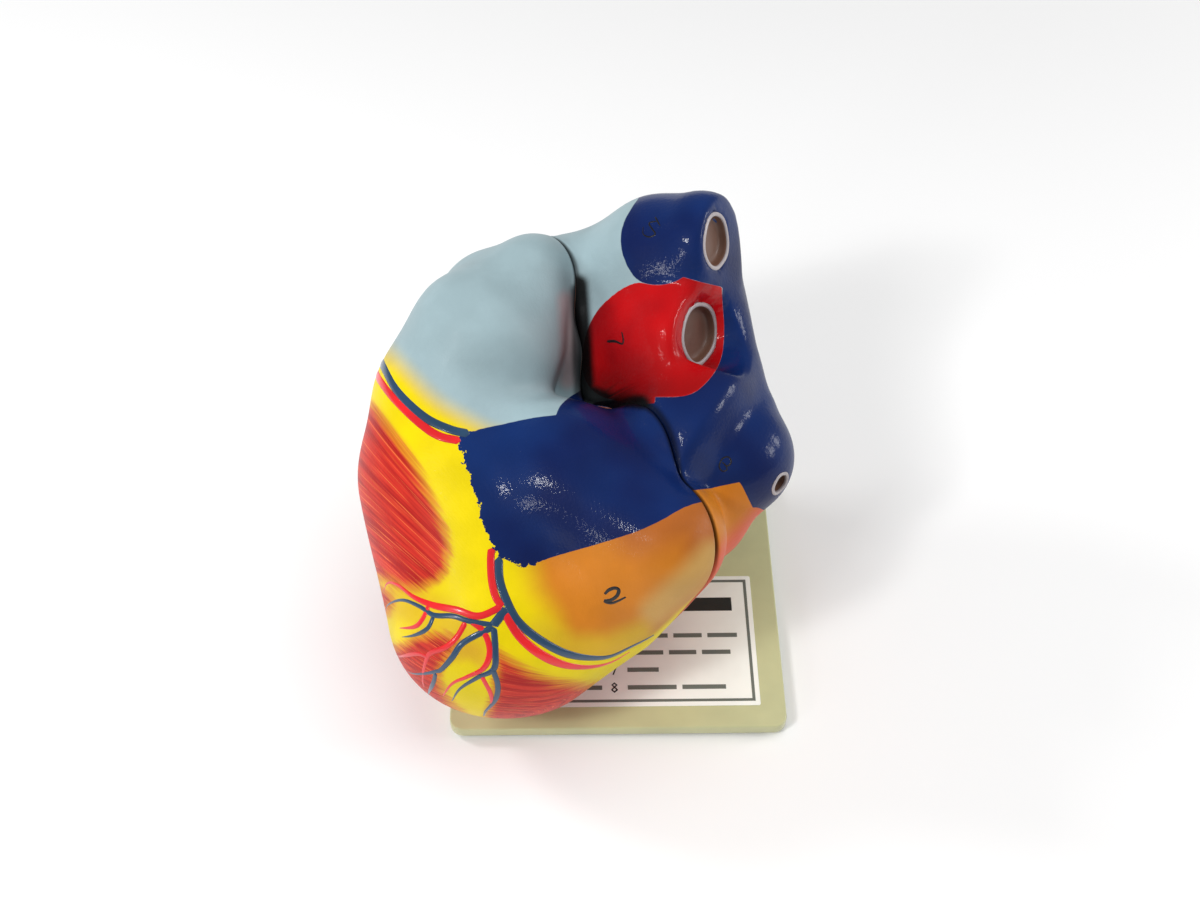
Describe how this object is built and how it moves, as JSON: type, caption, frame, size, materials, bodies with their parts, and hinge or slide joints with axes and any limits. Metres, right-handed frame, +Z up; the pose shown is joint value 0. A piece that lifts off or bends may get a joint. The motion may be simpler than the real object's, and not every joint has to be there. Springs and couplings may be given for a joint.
{
  "type": "heart anatomy model",
  "caption": "Enlarged classroom model of a human heart in two painted halves, standing on a rod on a flat base with a numbered paper key.",
  "frame": {"origin": "on the bench under the centre of the base plate", "axes": "+X to the reader's right, +Y away from the reader, +Z up; the paper key reads from -Y"},
  "size_m": [0.1565, 0.165, 0.1567],
  "materials": {
    "plate": "smooth olive-cream enamel, fine pale edge",
    "paper": "printed paper key, matt",
    "felt": "dark green felt, matt",
    "steel": "turned steel",
    "washer": "white polymer, smooth",
    "bush": "off-white polymer, smooth",
    "heart_paint": "hand-painted glossy enamel over moulded plastic: grey-blue, navy, red, yellow and orange areas",
    "front_paint": "hand-painted glossy enamel over moulded plastic: yellow, red and orange muscle with a navy trunk",
    "chamber_paint": "painted flesh pink, semi-gloss",
    "valve": "cream flexible plastic",
    "muscle": "painted dull red, semi-gloss",
    "cord": "cream cord",
    "sleeve": "plain brass"
  },
  "bodies": {
    "base": {"base_plate": "plate", "key_label": "paper", "base_felt": "felt", "post": "steel", "post_screw": "steel"},
    "turntable": {"thrust_washer": "washer"},
    "rear_half": {"socket_bush": "bush", "rear_shell": "heart_paint", "rear_chambers": "chamber_paint", "dowel_pins": "steel", "rear_tricuspid_leaflets": "valve", "rear_mitral_leaflets": "valve", "aortic_valve": "valve", "rear_papillary_muscles": "muscle", "rear_chordae": "cord"},
    "front_half": {"front_shell": "front_paint", "front_chambers": "chamber_paint", "dowel_sleeves": "sleeve", "front_tricuspid_leaflet": "valve", "front_mitral_leaflet": "valve", "pulmonary_valve": "valve", "front_papillary_muscles": "muscle", "front_chordae": "cord"}
  },
  "joints": [
    {"name": "heart_swivel", "type": "hinge", "parent": "base", "child": "turntable", "pos_m": [0.01212, 0.007, 0.02749], "axis": [0, 0, 1], "continuous": true},
    {"name": "heart_lift", "type": "slide", "parent": "turntable", "child": "rear_half", "axis": [0, 0, 1], "range_m": [0, 0.045]},
    {"name": "front_pull", "type": "slide", "parent": "rear_half", "child": "front_half", "axis": [-0.8138, -0.4698, 0.342], "range_m": [0, 0.06]}
  ]
}
